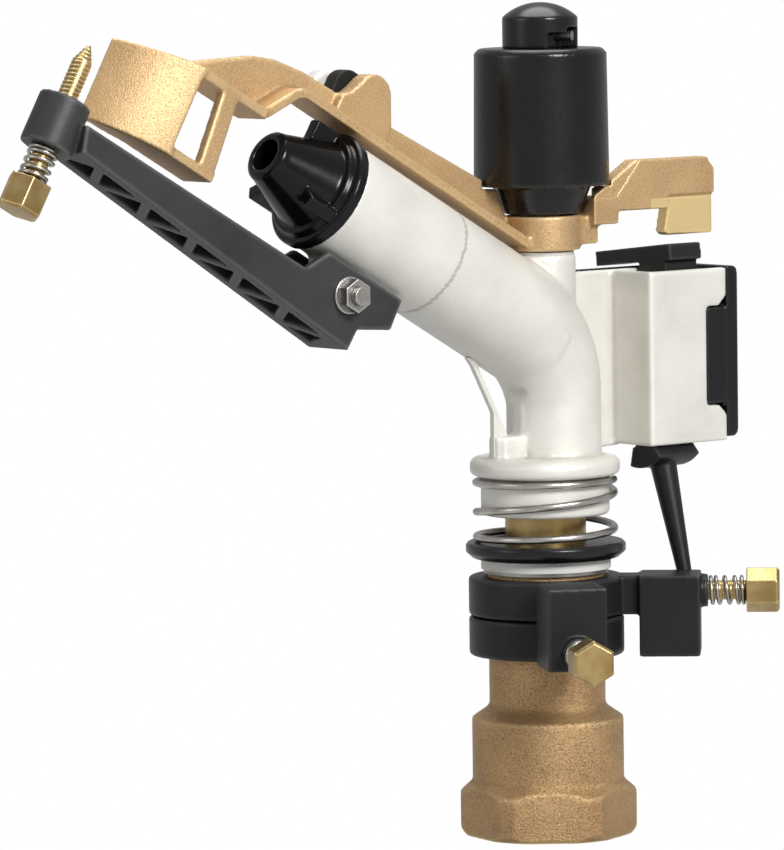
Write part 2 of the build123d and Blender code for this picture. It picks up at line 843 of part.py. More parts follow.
# Trip lever: hub, fan-shaped foot under the housing, tapered rod and spring seat
fan_inner_r = 7.5
fan_outer_r = 12.5
fan_half_angle = 28.0
lever_down = Vector(0, sin(radians(lever_tilt)), -cos(radians(lever_tilt)))
lever_pivot = Vector(lever_x, lever_pivot_y, lever_pivot_z)
seat_height = 7.5
seat_start = 31.0
seat_width = 5.4
with BuildPart() as trip_lever:
    with BuildSketch(tilt_plane(lever_start, lever_pivot_y, lever_pivot_z, lever_tilt)):
        Circle(fan_outer_r)
        Circle(fan_inner_r, mode=Mode.SUBTRACT)
        fan_side = 2 * fan_outer_r * sin(radians(fan_half_angle))
        fan_drop = 2 * fan_outer_r * cos(radians(fan_half_angle))
        with BuildLine():
            Polyline((0, 0), (fan_side, -fan_drop), (-fan_side, -fan_drop), close=True)
        make_face(mode=Mode.INTERSECT)
        Circle(3.6)
        with Locations((0, -fan_inner_r / 2 - 0.5)):
            Rectangle(5.0, fan_inner_r + 1)
    extrude(amount=lever_width)
    with BuildSketch(tilt_plane(seat_start, lever_pivot_y, lever_pivot_z, lever_tilt)):
        with Locations((0, seat_height / 2)):
            Rectangle(4.6, seat_height)
    extrude(amount=seat_width)
    rod_start = lever_pivot + lever_down * (fan_outer_r - 1.2)
    rod_end = lever_pivot + lever_down * lever_length
    with BuildSketch(Plane(origin=rod_start, x_dir=(1, 0, 0), z_dir=lever_down)):
        Circle(lever_root_r)
    with BuildSketch(Plane(origin=rod_end, x_dir=(1, 0, 0), z_dir=lever_down)):
        Circle(lever_tip_r)
    loft()
    with BuildSketch(tilt_plane(lever_start, lever_pivot_y, lever_pivot_z, lever_tilt)):
        Circle(trip_pin_r + running_gap)
    extrude(amount=lever_width, mode=Mode.SUBTRACT)
save(trip_lever.part, "trip_lever")

# Reversing pawl: rocker over the housing, with its stem down to the pin
pawl_top = 10.6
pawl_under = 7.0
pawl_seat = -8.0
with BuildPart() as reversing_pawl:
    with BuildSketch(tilt_plane(pawl_start, pawl_pivot_y, pawl_pivot_z, pawl_tilt)):
        with BuildLine():
            Polyline(
                (-7.7, pawl_top),
                (-7.7, 6.5),
                (-5.7, 6.5),
                (-5.0, -1.0),
                (-2.3, -4.5),
                (-2.3, pawl_seat),
                (2.3, pawl_seat),
                (2.3, -4.5),
                (4.0, -1.0),
                (4.2, pawl_under),
                (20.0, pawl_under),
                (20.0, pawl_top),
                close=True,
            )
        make_face()
        Circle(trip_pin_r + running_gap, mode=Mode.SUBTRACT)
    extrude(amount=pawl_end - pawl_start)
save(reversing_pawl.part, "reversing_pawl")

# Toggle spring between the seats of lever and pawl
spring_x = seat_start + seat_width / 2
lever_seat = Vector(spring_x, lever_pivot_y, lever_pivot_z) - lever_down * seat_height
pawl_down = Vector(0, sin(radians(pawl_tilt)), -cos(radians(pawl_tilt)))
stem_seat = Vector(spring_x, pawl_pivot_y, pawl_pivot_z) - pawl_down * pawl_seat
toggle_line = stem_seat - lever_seat
toggle_plane = Plane(origin=lever_seat + toggle_line * 0.06, z_dir=toggle_line)
toggle_spring = coil(toggle_plane, 2.4, 0.6, toggle_line.length * 0.88, 6)
save(toggle_spring, "toggle_spring")

# Washer on the post, under the arm's hub
washer_top = hub_bottom - seat_gap
save(washer(post_top, washer_top - post_top, post_r - 0.4, pin_r + running_gap), "hub_washer")

# Bush pressed in the arm's hub
save(washer(hub_bottom, hub_top - hub_bottom, bush_r, pin_r + running_gap), "arm_bush")

# Bronze drive arm
with BuildPart() as drive_arm:
    with BuildSketch(Plane.XY.offset(hub_bottom)):
        Circle(hub_r)
    extrude(amount=hub_top - hub_bottom)
    # Flange above the jet, coming down to the spoon's roof
    with BuildSketch(side_plane(arm_near)):
        with BuildLine():
            FilletPolyline(
                (18.5, flange_low),
                (97.0, flange_low),
                (104.5, spoon_top - spoon_plate),
                (126.0, spoon_top - spoon_plate),
                radius=4.0,
            )
            offset(amount=flange_thickness, side=Side.LEFT)
        make_face()
    extrude(amount=arm_far - arm_near)
    # Web standing on the flange's far edge
    with BuildSketch(side_plane(arm_far - arm_web)):
        with BuildLine():
            Polyline(
                (16.0, flange_low + 2),
                (97.5, flange_low + 1),
                (104.5, spoon_top - 1),
                (126.5, spoon_top - 1),
                (126.5, spoon_top + 1.2),
                (110.0, web_high - 4.2),
                (104.0, web_high - 1.9),
                (95.0, web_high - 0.4),
                (64.0, web_high + 0.6),
                (30.0, web_high + 2.6),
                (16.0, web_high + 2.6),
                close=True,
            )
        make_face()
    extrude(amount=arm_web)
    # Tongue that rests on the bumper
    with BuildSketch(side_plane(arm_far - tongue_thickness)):
        with BuildLine():
            Polyline((65.4, flange_low + 1), (66.4, 22.9), (70.4, 30.0))
            ThreePointArc((70.4, 30.0), (75.0, 32.4), (79.3, 29.0))
            Polyline((79.3, 29.0), (80.4, 26.4), (81.4, 24.6), (83.4, 23.2), (83.4, flange_low + 1), (65.4, flange_low + 1))
        make_face()
    extrude(amount=tongue_thickness)
    # Spoon: roof, floor, entry bar and the curved wall that turns the jet
    for roof, start in ((spoon_top, 105.0), (spoon_bottom + spoon_plate, 112.0)):
        with BuildSketch(square_plane(roof)):
            with BuildLine():
                Line((start, arm_far), (start, spoon_near))
                Line((start, spoon_near), (127.0, spoon_near))
                wall_edge = ThreePointArc((127.0, spoon_near), (136.5, -1.4), (144.6, 6.6))
                Line(wall_edge @ 1, (138.5, 6.6))
                Line((138.5, 6.6), (132.0, arm_far))
                Line((132.0, arm_far), (start, arm_far))
            make_face()
        extrude(amount=spoon_plate)
    with BuildSketch(square_plane(spoon_top)):
        with BuildLine():
            outer = ThreePointArc((126.0, spoon_near - 0.4), (136.5, -1.8), (145.0, 6.6))
            Line(outer @ 1, (142.6, 8.4))
            inner = ThreePointArc((142.6, 8.4), (134.6, 0.2), (126.0, spoon_near + spoon_wall))
            Line(inner @ 1, outer @ 0)
        make_face()
    extrude(amount=spoon_top - spoon_bottom)
    with BuildSketch(side_plane(spoon_near)):
        with BuildLine():
            Polyline(
                (bar_start + 0.8, spoon_top - 1),
                (bar_end + 0.8, spoon_top - 1),
                (bar_end - 1.4, spoon_bottom + 1),
                (bar_start - 1.4, spoon_bottom + 1),
                close=True,
            )
        make_face()
    extrude(amount=2.6)
    with BuildSketch(side_plane(spoon_near - 3)):
        with BuildLine():
            Polyline((128.0, spoon_top), (147.0, 5.2), (147.0, spoon_top + 4), (128.0, spoon_top + 4), close=True)
        make_face()
    extrude(amount=arm_far - spoon_near + 9, mode=Mode.SUBTRACT)
    # Rear arm: root, step, rib, weight slab and machined striker
    with BuildSketch(Plane.XY.offset(hub_bottom + 1.2)):
        with Locations((6.0, -1.5)):
            Rectangle(12.0, 11.0)
    extrude(amount=hub_top - hub_bottom - 1.4)
    with BuildSketch(Plane.XY.offset(block_bottom)):
        with Locations(((block_left + block_right) / 2, -2.0)):
            Rectangle(block_right - block_left, 14.0)
    extrude(amount=block_top - block_bottom)
    with BuildSketch(Plane.XY.offset(block_top - 3.6)):
        with Locations((24.0, -5.5)):
            Rectangle(18.0, 7.0)
    extrude(amount=3.6)
    with BuildSketch(Plane.XZ.offset(-slab_far)):
        with BuildLine():
            Polyline((15.5, 154.0), (23.4, 163.0), (45.5, 163.0), (48.0, 160.0), (48.0, 154.0), close=True)
        make_face()
    extrude(amount=slab_far - slab_near)
    with BuildSketch(Plane.XZ.offset(-slab_far)):
        with BuildLine():
            Polyline(
                (striker_left + 2.2, 155.0),
                (striker_left, striker_bottom + 1.0),
                (striker_left + 1.0, striker_bottom),
                (48.0, striker_bottom),
                (48.0, 155.0),
                close=True,
            )
        make_face()
    extrude(amount=slab_far - slab_near - 1.0)
    # Room for the bush and for the spring cover
    with BuildSketch(Plane.XY.offset(hub_bottom)):
        Circle(bush_r)
    extrude(amount=hub_top - hub_bottom, mode=Mode.SUBTRACT)
    with BuildSketch(Plane.XZ):
        with BuildLine():
            Polyline(
                (0, hub_top),
                (cone_bottom_r + 0.5, hub_top),
                (cone_top_r + 0.5, cone_top - 0.5),
                (cover_low_r + 0.5, cone_top - 0.5),
                (cover_low_r + 0.5, cover_top),
                (0, cover_top),
                close=True,
            )
        make_face()
    revolve(axis=Axis.Z, mode=Mode.SUBTRACT)
save(drive_arm.part, "drive_arm")

# Diffuser arm: ribbed channel, open underneath, clamped on the barrel's ear
cell_start = 83.0
cell_end = 146.0
cell_count = 8
clevis_cells = 3
clevis_end = 60.0
slot_floor = ear_end_n - 0.5
cell_length = (cell_end - cell_start) / cell_count
inner_half = diffuser_half_width - diffuser_wall
with BuildPart() as diffuser_arm:
    with BuildSketch(side_plane(-diffuser_half_width)):
        with BuildLine():
            Polyline(
                (58.5, -31.5),
                (58.2, -25.9),
                (49.2, -21.5),
                (49.4, -13.6),
                (74.4, -13.6),
                (79.0, -20.0),
                (151.0, -20.0),
                (149.0, -26.3),
                close=True,
            )
        make_face()
    extrude(amount=2 * diffuser_half_width)
    with BuildSketch(square_plane(-5.0)):
        with Locations((64.5, 0)):
            Rectangle(33.0, 2 * inner_half)
    extrude(amount=-5.0 - slot_floor, mode=Mode.SUBTRACT)
    with BuildSketch(side_plane(-inner_half)):
        with Locations((pivot_s, pivot_n)):
            Circle(washer_r)
    extrude(amount=2 * inner_half)
    with BuildSketch(side_plane(-ear_thickness / 2)):
        with Locations((pivot_s, pivot_n)):
            Circle(washer_r)
    extrude(amount=ear_thickness, mode=Mode.SUBTRACT)
    for k in range(-clevis_cells, cell_count):
        left = cell_start + k * cell_length
        side = inner_half if k % 2 else -inner_half
        cell_roof = slot_floor - 1.8 if k < 0 else -20.0 - diffuser_wall
        with BuildSketch(square_plane(cell_roof)):
            with BuildLine():
                Polyline(
                    (max(left - 3, clevis_end), side),
                    (left + cell_length + 3, side),
                    (left + cell_length / 2, -side),
                    close=True,
                )
            make_face()
            offset(amount=-0.9)
        extrude(amount=14, mode=Mode.SUBTRACT)
    with BuildSketch(square_plane(boss_high)):
        with Locations((boss_s, 0)):
            Circle(boss_r)
    extrude(amount=boss_high - boss_low)
    with BuildSketch(square_plane(boss_high)):
        with Locations((boss_s, 0)):
            Circle(screw_shank_r + running_gap)
    extrude(amount=boss_high - boss_low, mode=Mode.SUBTRACT)
    with BuildSketch(side_plane(-diffuser_half_width)):
        with Locations((pivot_s, pivot_n)):
            Circle(bolt_r + running_gap)
    extrude(amount=2 * diffuser_half_width, mode=Mode.SUBTRACT)
save(diffuser_arm.part, "diffuser_arm")

# Pointed diffuser screw and its spring
diffuser_plane = Plane(origin=jet_point(boss_s, 0), x_dir=along, z_dir=across * -1)
diffuser_tip = 1.4
point_length = 4.5
diffuser_spring_length = 8.3
diffuser_head = -boss_low + diffuser_spring_length
with BuildPart() as diffuser_screw:
    with BuildSketch(diffuser_plane.offset(diffuser_tip + point_length)):
        Circle(screw_shank_r)
    extrude(amount=diffuser_head - diffuser_tip - point_length)
    with BuildSketch(diffuser_plane.offset(diffuser_tip + point_length)):
        Circle(screw_shank_r)
    with BuildSketch(diffuser_plane.offset(diffuser_tip)):
        Circle(0.3)
    loft()
    with BuildSketch(diffuser_plane.offset(diffuser_head)):
        RegularPolygon(screw_head_flats / 2, 6, major_radius=False)
    extrude(amount=screw_head_length)
    head_face = diffuser_screw.faces().sort_by(Axis(diffuser_plane.origin, diffuser_plane.z_dir))[-1]
    chamfer(head_face.edges(), 0.6)
save(diffuser_screw.part, "diffuser_screw")
spring_plane = diffuser_plane.offset(-boss_low)
spring = coil(spring_plane, screw_spring_r, screw_spring_wire, diffuser_spring_length, screw_spring_turns)
save(spring, "diffuser_screw_spring")

# Bolt, nut and washers of the diffuser arm
bolt_head = diffuser_half_width + washer_thickness
with BuildPart() as diffuser_bolt:
    with BuildSketch(side_plane(-bolt_head - nut_height - 1.6)):
        with Locations((pivot_s, pivot_n)):
            Circle(bolt_r)
    extrude(amount=2 * bolt_head + nut_height + 1.6)
    with BuildSketch(side_plane(bolt_head)):
        with Locations((pivot_s, pivot_n)):
            RegularPolygon(nut_flats / 2, 6, major_radius=False)
    extrude(amount=3.5)
save(diffuser_bolt.part, "diffuser_bolt")
with BuildPart() as diffuser_nut:
    with BuildSketch(side_plane(-bolt_head - nut_height)):
        with Locations((pivot_s, pivot_n)):
            RegularPolygon(nut_flats / 2, 6, major_radius=False)
            Circle(bolt_r, mode=Mode.SUBTRACT)
    extrude(amount=nut_height)
save(diffuser_nut.part, "diffuser_nut")
with BuildPart() as diffuser_washers:
    for washer_y in (-bolt_head, diffuser_half_width):
        with BuildSketch(side_plane(washer_y)):
            with Locations((pivot_s, pivot_n)):
                Circle(washer_r)
                Circle(bolt_r, mode=Mode.SUBTRACT)
        extrude(amount=washer_thickness)
save(diffuser_washers.part, "diffuser_washers")
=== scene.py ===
import json
import math

import bmesh
import bpy
import numpy as np
from mathutils import Matrix, Vector

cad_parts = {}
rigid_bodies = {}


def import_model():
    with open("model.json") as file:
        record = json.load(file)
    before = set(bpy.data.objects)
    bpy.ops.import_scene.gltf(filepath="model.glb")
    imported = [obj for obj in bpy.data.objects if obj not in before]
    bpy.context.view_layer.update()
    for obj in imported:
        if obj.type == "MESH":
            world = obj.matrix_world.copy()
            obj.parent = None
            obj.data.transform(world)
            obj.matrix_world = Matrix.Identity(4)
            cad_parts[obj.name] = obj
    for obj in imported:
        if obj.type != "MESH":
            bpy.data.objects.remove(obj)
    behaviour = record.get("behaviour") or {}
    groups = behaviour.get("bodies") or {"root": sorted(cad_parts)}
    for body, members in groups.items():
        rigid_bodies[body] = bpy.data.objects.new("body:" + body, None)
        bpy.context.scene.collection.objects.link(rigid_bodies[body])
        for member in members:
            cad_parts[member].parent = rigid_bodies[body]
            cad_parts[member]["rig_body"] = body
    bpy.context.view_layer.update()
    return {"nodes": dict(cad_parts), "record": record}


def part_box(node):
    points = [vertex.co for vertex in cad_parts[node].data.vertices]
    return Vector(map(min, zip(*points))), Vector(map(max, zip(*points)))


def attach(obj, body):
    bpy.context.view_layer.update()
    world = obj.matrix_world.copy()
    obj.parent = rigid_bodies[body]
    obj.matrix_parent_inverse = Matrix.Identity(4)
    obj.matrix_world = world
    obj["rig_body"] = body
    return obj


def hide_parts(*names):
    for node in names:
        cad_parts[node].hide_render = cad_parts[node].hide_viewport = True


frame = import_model()
mm = 0.001
scene = bpy.context.scene
print("sprinkler: frame loaded,", len(frame["nodes"]), "nodes")

# the jet's own directions, as in the source of the part
jet = {"angle": math.radians(29.7), "height": 120.2}
along = Vector((-math.cos(jet["angle"]), 0, math.sin(jet["angle"])))
across = Vector((math.sin(jet["angle"]), 0, math.cos(jet["angle"])))


def jetPoint(s, n):
    # s along the jet's line and n across it, in millimetres
    return (Vector((0, 0, jet["height"])) + along * s + across * n) * mm


# ---- shader maths

class Flow:
    # one socket of a paint; an expression on it adds its own Math nodes
    def __init__(self, paint, socket):
        self.paint = paint
        self.socket = socket

    def math(self, operation, a, b=0.0, clamp=False):
        return self.paint.add("ShaderNodeMath", {"operation": operation, "use_clamp": clamp}, [a, b])

    def __add__(self, other):
        return self.math("ADD", self, other)

    def __sub__(self, other):
        return self.math("SUBTRACT", self, other)

    def __rsub__(self, other):
        return self.math("SUBTRACT", other, self)

    def __mul__(self, other):
        return self.math("MULTIPLY", self, other)

    def __truediv__(self, other):
        return self.math("DIVIDE", self, other)

    def limited(self):
        return self.math("ADD", self, 0.0, True)

    def between(self, low, high):
        return ((self - low) / (high - low)).limited()

    __radd__ = __add__


class Paint:
    def __init__(self, name):
        self.material = bpy.data.materials.new(name)
        self.material.use_nodes = True
        self.tree = self.material.node_tree
        self.tree.nodes.clear()
        self.place = self.add("ShaderNodeTexCoord", output=3)

    def add(self, kind, settings=None, sockets=None, output=0):
        node = self.tree.nodes.new(kind)
        for key, value in (settings or {}).items():
            setattr(node, key, value)
        pairs = enumerate(sockets) if isinstance(sockets, list) else (sockets or {}).items()
        for key, value in pairs:
            if isinstance(value, Flow):
                self.tree.links.new(value.socket, node.inputs[key])
            else:
                node.inputs[key].default_value = value
        return Flow(self, node.outputs[output])

    def noise(self, scale, detail=2.0, rough=0.5, stretch=None):
        place = self.place
        if stretch:
            place = self.add("ShaderNodeMapping", None, {"Vector": place, "Scale": stretch})
        sockets = {"Vector": place, "Scale": scale, "Detail": detail, "Roughness": rough}
        return self.add("ShaderNodeTexNoise", None, sockets)

    def pits(self, scale):
        return self.add("ShaderNodeTexVoronoi", None, {"Vector": self.place, "Scale": scale})

    def painted(self, name):
        return self.add("ShaderNodeAttribute", {"attribute_name": name}, None, 2)

    def blend(self, share, first, second):
        return self.add("ShaderNodeMix", {"data_type": "RGBA"}, {0: share, 6: first, 7: second}, 2)

    def finish(self, colour, rough, relief, depth, metal=0.0, shine=0.5):
        # depth is the relief's height in millimetres
        bump = self.add("ShaderNodeBump", None, {"Strength": 1.0, "Distance": depth * mm, "Height": relief})
        shader = self.tree.nodes.new("ShaderNodeBsdfPrincipled")
        values = {"Base Color": colour, "Roughness": rough, "Metallic": metal, "Specular IOR Level": shine,
                  "Normal": bump}
        for key, value in values.items():
            if isinstance(value, Flow):
                self.tree.links.new(value.socket, shader.inputs[key])
            else:
                shader.inputs[key].default_value = value
        end = self.tree.nodes.new("ShaderNodeOutputMaterial")
        self.tree.links.new(shader.outputs[0], end.inputs[0])
        return self.material


def tint(red, green, blue):
    # a colour as the eye reads it, 0 to 255, made linear
    def linear(level):
        level = level / 255
        return level / 12.92 if level < 0.04045 else ((level + 0.055) / 1.055) ** 2.4

    return (linear(red), linear(green), linear(blue), 1.0)


def sandCastBronze(name, dark, light, grit, depth, metal):
    # grit is how strongly the sand's pits show
    p = Paint(name)
    grain = p.noise(2100, 4, 0.65)
    patch = p.noise(70, 3, 0.5)
    speck = p.pits(1700).between(0.05, 0.35)
    edgeHighlight = p.painted("edgeHighlight")
    hollowShade = p.painted("hollowShade")
    cut = p.painted("machined")
    colour = p.blend(patch.between(0.3, 0.7), tint(*dark), tint(*light))
    colour = p.blend(grain.between(0.35, 0.62) * 0.5, colour, tint(*(c + 34 for c in light)))
    colour = p.blend((1 - speck) * grit, colour, tint(84, 62, 38))
    # painted shade darkens the inner corners, then painted highlight brightens the outer edges
    colour = p.blend(hollowShade * 0.8, colour, tint(78, 58, 38))
    colour = p.blend(edgeHighlight * 0.6, colour, tint(240, 212, 160))
    colour = p.blend(cut, colour, tint(236, 208, 150))
    rough = 0.48 - edgeHighlight * 0.1 + (1 - speck) * 0.06 - cut * 0.2
    relief = (grain * 0.7 + speck * 0.3 + patch * 0.5) * (1 - cut * 0.93)
    return p.finish(colour, rough, relief, depth, metal)


def blastedAluminium():
    p = Paint("blastedAluminium")
    grain = p.noise(2600, 3, 0.6)
    patch = p.noise(60, 3, 0.5)
    edgeHighlight = p.painted("edgeHighlight")
    hollowShade = p.painted("hollowShade")
    colour = p.blend(patch.between(0.3, 0.7), tint(212, 209, 200), tint(232, 230, 222))
    colour = p.blend(grain.between(0.4, 0.6) * 0.4, colour, tint(234, 232, 227))
    # painted shade darkens the inner corners
    colour = p.blend(hollowShade * 0.6, colour, tint(132, 127, 117))
    # a dark line of painted shade for the barrel ring's groove
    colour = p.blend(p.painted("machined") * 0.6, colour, tint(150, 146, 138))
    # painted highlight brightens the outer edges
    colour = p.blend(edgeHighlight * 0.5, colour, tint(246, 245, 240))
    rough = 0.44 - edgeHighlight * 0.12 + grain * 0.08
    return p.finish(colour, rough, grain * 0.7 + patch * 0.6, 0.1, 0.25)


def turnedBrass():
    p = Paint("turnedBrass")
    grain = p.noise(1200, 2, 0.5)
    patch = p.noise(160, 2, 0.5)
    edgeHighlight = p.painted("edgeHighlight")
    hollowShade = p.painted("hollowShade")
    colour = p.blend(patch.between(0.35, 0.65), tint(160, 134, 84), tint(188, 162, 112))
    # painted highlight brightens the outer edges, then painted shade darkens the inner corners
    colour = p.blend(edgeHighlight * 0.6, colour, tint(246, 226, 176))
    colour = p.blend(hollowShade * 0.7, colour, tint(92, 68, 32))
    return p.finish(colour, 0.27 + patch * 0.12, grain, 0.02, 0.95)


def mouldedPlastic(name, dark, light, rough, grainScale, depth, shine):
    p = Paint(name)
    grain = p.noise(grainScale, 3, 0.6)
    patch = p.noise(45, 3, 0.5)
    edgeHighlight = p.painted("edgeHighlight")
    hollowShade = p.painted("hollowShade")
    colour = p.blend(patch.between(0.3, 0.7), tint(*dark), tint(*light))
    # painted highlight brightens the outer edges, then painted shade darkens the inner corners
    colour = p.blend(edgeHighlight * 0.5, colour, tint(*[min(255, v * 1.9 + 14) for v in light]))
    colour = p.blend(hollowShade * 0.5, colour, tint(*[v * 0.6 for v in dark]))
    return p.finish(colour, rough + grain * 0.1 + patch * 0.06 - 0.08, grain, depth, 0.0, shine)


def drawnWire():
    p = Paint("drawnWire")
    fine = p.noise(900, 2, 0.5, (1, 1, 6))
    patch = p.noise(120, 2, 0.5)
    colour = p.blend(patch.between(0.3, 0.7), tint(158, 154, 148), tint(196, 192, 186))
    return p.finish(colour, 0.24 + fine * 0.12, fine, 0.01, 1.0)


def turnedSteel():
    p = Paint("turnedSteel")
    fine = p.noise(1400, 2, 0.5)
    patch = p.noise(200, 2, 0.5)
    edgeHighlight = p.painted("edgeHighlight")
    hollowShade = p.painted("hollowShade")
    colour = p.blend(patch.between(0.3, 0.7), tint(140, 137, 132), tint(176, 173, 168))
    # painted highlight brightens the outer edges, then painted shade and reflection darken the inner corners
    colour = p.blend(edgeHighlight * 0.7, colour, tint(240, 239, 235))
    colour = p.blend(hollowShade * 0.8, colour, tint(58, 56, 53))
    return p.finish(colour, 0.3 + fine * 0.12, fine, 0.02, 0.95)


slotOf = {part["node"]: part["material_slot"] for part in frame["record"]["subparts"]}
finishes = {
    "cast_bronze": sandCastBronze("sandCastBronze", (168, 134, 92), (194, 160, 114), 0.15, 0.14, 0.55),
    "cast_aluminium": blastedAluminium(),
    "machined_brass": turnedBrass(),
    "black_plastic": mouldedPlastic("satinBlack", (24, 24, 25), (34, 34, 35), 0.4, 1600, 0.03, 0.25),
    "gloss_black_plastic": mouldedPlastic("glossBlack", (9, 9, 10), (15, 15, 16), 0.2, 500, 0.006, 0.25),
    "white_plastic": mouldedPlastic("whitePlastic", (214, 213, 208), (228, 227, 223), 0.4, 1200, 0.01, 0.5),
    "stainless_steel": turnedSteel(),
    "rubber": mouldedPlastic("blackRubber", (18, 18, 18), (27, 27, 27), 0.6, 1400, 0.03, 0.2),
}
coverBlack = mouldedPlastic("coverBlack", (10, 10, 11), (17, 17, 18), 0.27, 700, 0.012, 0.4)
ribbedBlack = mouldedPlastic("ribbedBlack", (38, 38, 39), (56, 56, 57), 0.46, 1700, 0.05, 0.35)
inletBronze = sandCastBronze("inletBronze", (144, 112, 74), (180, 146, 102), 0.6, 0.4, 0.78)
springWire = drawnWire()
print("sprinkler: finishes made,", len(finishes) + 4)


# ---- meshes

def asMesh(piece):
    # the evaluated object becomes a plain mesh with no modifier
    bpy.context.view_layer.update()
    seen = piece.evaluated_get(bpy.context.evaluated_depsgraph_get())
    made = bpy.data.meshes.new_from_object(seen)
    piece.modifiers.clear()
    old = piece.data
    piece.data = made
    if old.users == 0:
        bpy.data.meshes.remove(old)


def newPiece(name, mesh):
    piece = bpy.data.objects.new(name, mesh)
    scene.collection.objects.link(piece)
    return piece


def facesOut(mesh):
    work = bmesh.new()
    work.from_mesh(mesh)
    bmesh.ops.recalc_face_normals(work, faces=work.faces)
    work.to_mesh(mesh)
    work.free()


# sizes of the corner marks that carry painted highlight and painted shade
cornerLightMarks = {"smoothings": 4, "own": 0.4, "gain": 9, "highlightFrom": 0.25, "shadeFrom": 0.2}


def markSurface(mesh, machined=None):
    # one mark is high on outer corners, for painted highlight, and one in inner ones, for painted shade
    count = len(mesh.vertices)
    co = np.zeros(count * 3)
    normal = np.zeros(count * 3)
    mesh.vertices.foreach_get("co", co)
    mesh.vertices.foreach_get("normal", normal)
    co, normal = co.reshape(-1, 3), normal.reshape(-1, 3)
    ends = np.zeros(len(mesh.edges) * 2, int)
    mesh.edges.foreach_get("vertices", ends)
    a, b = ends.reshape(-1, 2).T
    near = np.maximum(np.bincount(a, minlength=count) + np.bincount(b, minlength=count), 1)

    def average(values):
        total = np.bincount(a, values[b], count) + np.bincount(b, values[a], count)
        return total / near

    pull = np.stack([average(co[:, k]) - co[:, k] for k in range(3)], 1)
    size = np.linalg.norm(co[a] - co[b], axis=1).mean()
    bend = (pull * normal).sum(1) / size
    for step in range(cornerLightMarks["smoothings"]):
        bend = cornerLightMarks["own"] * bend + (1 - cornerLightMarks["own"]) * average(bend)
    marks = {"edgeHighlight": np.clip(-bend * cornerLightMarks["gain"] - cornerLightMarks["highlightFrom"], 0, 1),
             "hollowShade": np.clip(bend * cornerLightMarks["gain"] - cornerLightMarks["shadeFrom"], 0, 1),
             "machined": machined(co / mm) if machined else np.zeros(count)}
    for name, values in marks.items():
        mesh.attributes.new(name, "FLOAT", "POINT").data.foreach_set("value", values.astype(np.float32))


def prism(name, outline, low, high):
    # a closed outline in the upright plane, x and z in millimetres, drawn out along y
    rows = [(x * mm, y * mm, z * mm) for y in (low, high) for x, z in outline]
    count = len(outline)
    sides = [(k, k + count, (k + 1) % count + count, (k + 1) % count) for k in range(count)]
    caps = [tuple(range(count)), tuple(range(2 * count - 1, count - 1, -1))]
    mesh = bpy.data.meshes.new(name)
    mesh.from_pydata(rows, [], sides + caps)
    facesOut(mesh)
    return newPiece(name, mesh)


def drum(radius, low, high, count=64):
    # an upright cylinder on the fulcrum's axis
    turns = [math.tau * k / count for k in range(count)]
    rows = [(radius * math.cos(a) * mm, radius * math.sin(a) * mm, z * mm) for z in (low, high) for a in turns]
    sides = [(k, (k + 1) % count, (k + 1) % count + count, k + count) for k in range(count)]
    caps = [tuple(range(count - 1, -1, -1)), tuple(range(count, 2 * count))]
    mesh = bpy.data.meshes.new("drum")
    mesh.from_pydata(rows, [], sides + caps)
    return newPiece("drum", mesh)


def softened(piece, grain, rounding):
    # grain is the skin's cell in millimetres, rounding the number of smoothing steps
    skin = piece.modifiers.new("skin", "REMESH")
    skin.mode = "VOXEL"
    skin.voxel_size = grain * mm
    skin.use_smooth_shade = True
    soft = piece.modifiers.new("soft", "SMOOTH")
    soft.factor = 0.5
    soft.iterations = rounding
    asMesh(piece)


def carved(piece, tool):
    # takes a tool's shape out of a piece, and the tool out of the file
    cut = piece.modifiers.new("cut", "BOOLEAN")
    cut.operation = "DIFFERENCE"
    cut.solver = "EXACT"
    cut.object = tool
    asMesh(piece)
    bpy.data.objects.remove(tool)


def castPiece(node, sizes, paint=None, machined=None):
    # a copy of the solid with the small rounded corners of a casting or moulding
    source = frame["nodes"][node]
    shape = source.data.copy()
    shape.materials.clear()
    work = bmesh.new()
    work.from_mesh(shape)
    bmesh.ops.remove_doubles(work, verts=work.verts, dist=1e-6)
    work.to_mesh(shape)
    work.free()
    piece = newPiece(sizes["name"], shape)
    if "cut" in sizes:
        carved(piece, prism("cutter", *sizes["cut"]))
    softened(piece, sizes["grain"], sizes["rounding"])
    markSurface(piece.data, machined)
    slot = slotOf[node]
    piece.data.materials.clear()
    piece.data.materials.append(paint or finishes[slot])
    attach(piece, source["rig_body"])
    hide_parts(node)


def castRib(piece, sizes, body, slot):
    # a rib that belongs to a casting and has no solid of its own
    softened(piece, sizes["grain"], sizes["rounding"])
    markSurface(piece.data)
    piece.data.materials.append(finishes[slot])
    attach(piece, body)


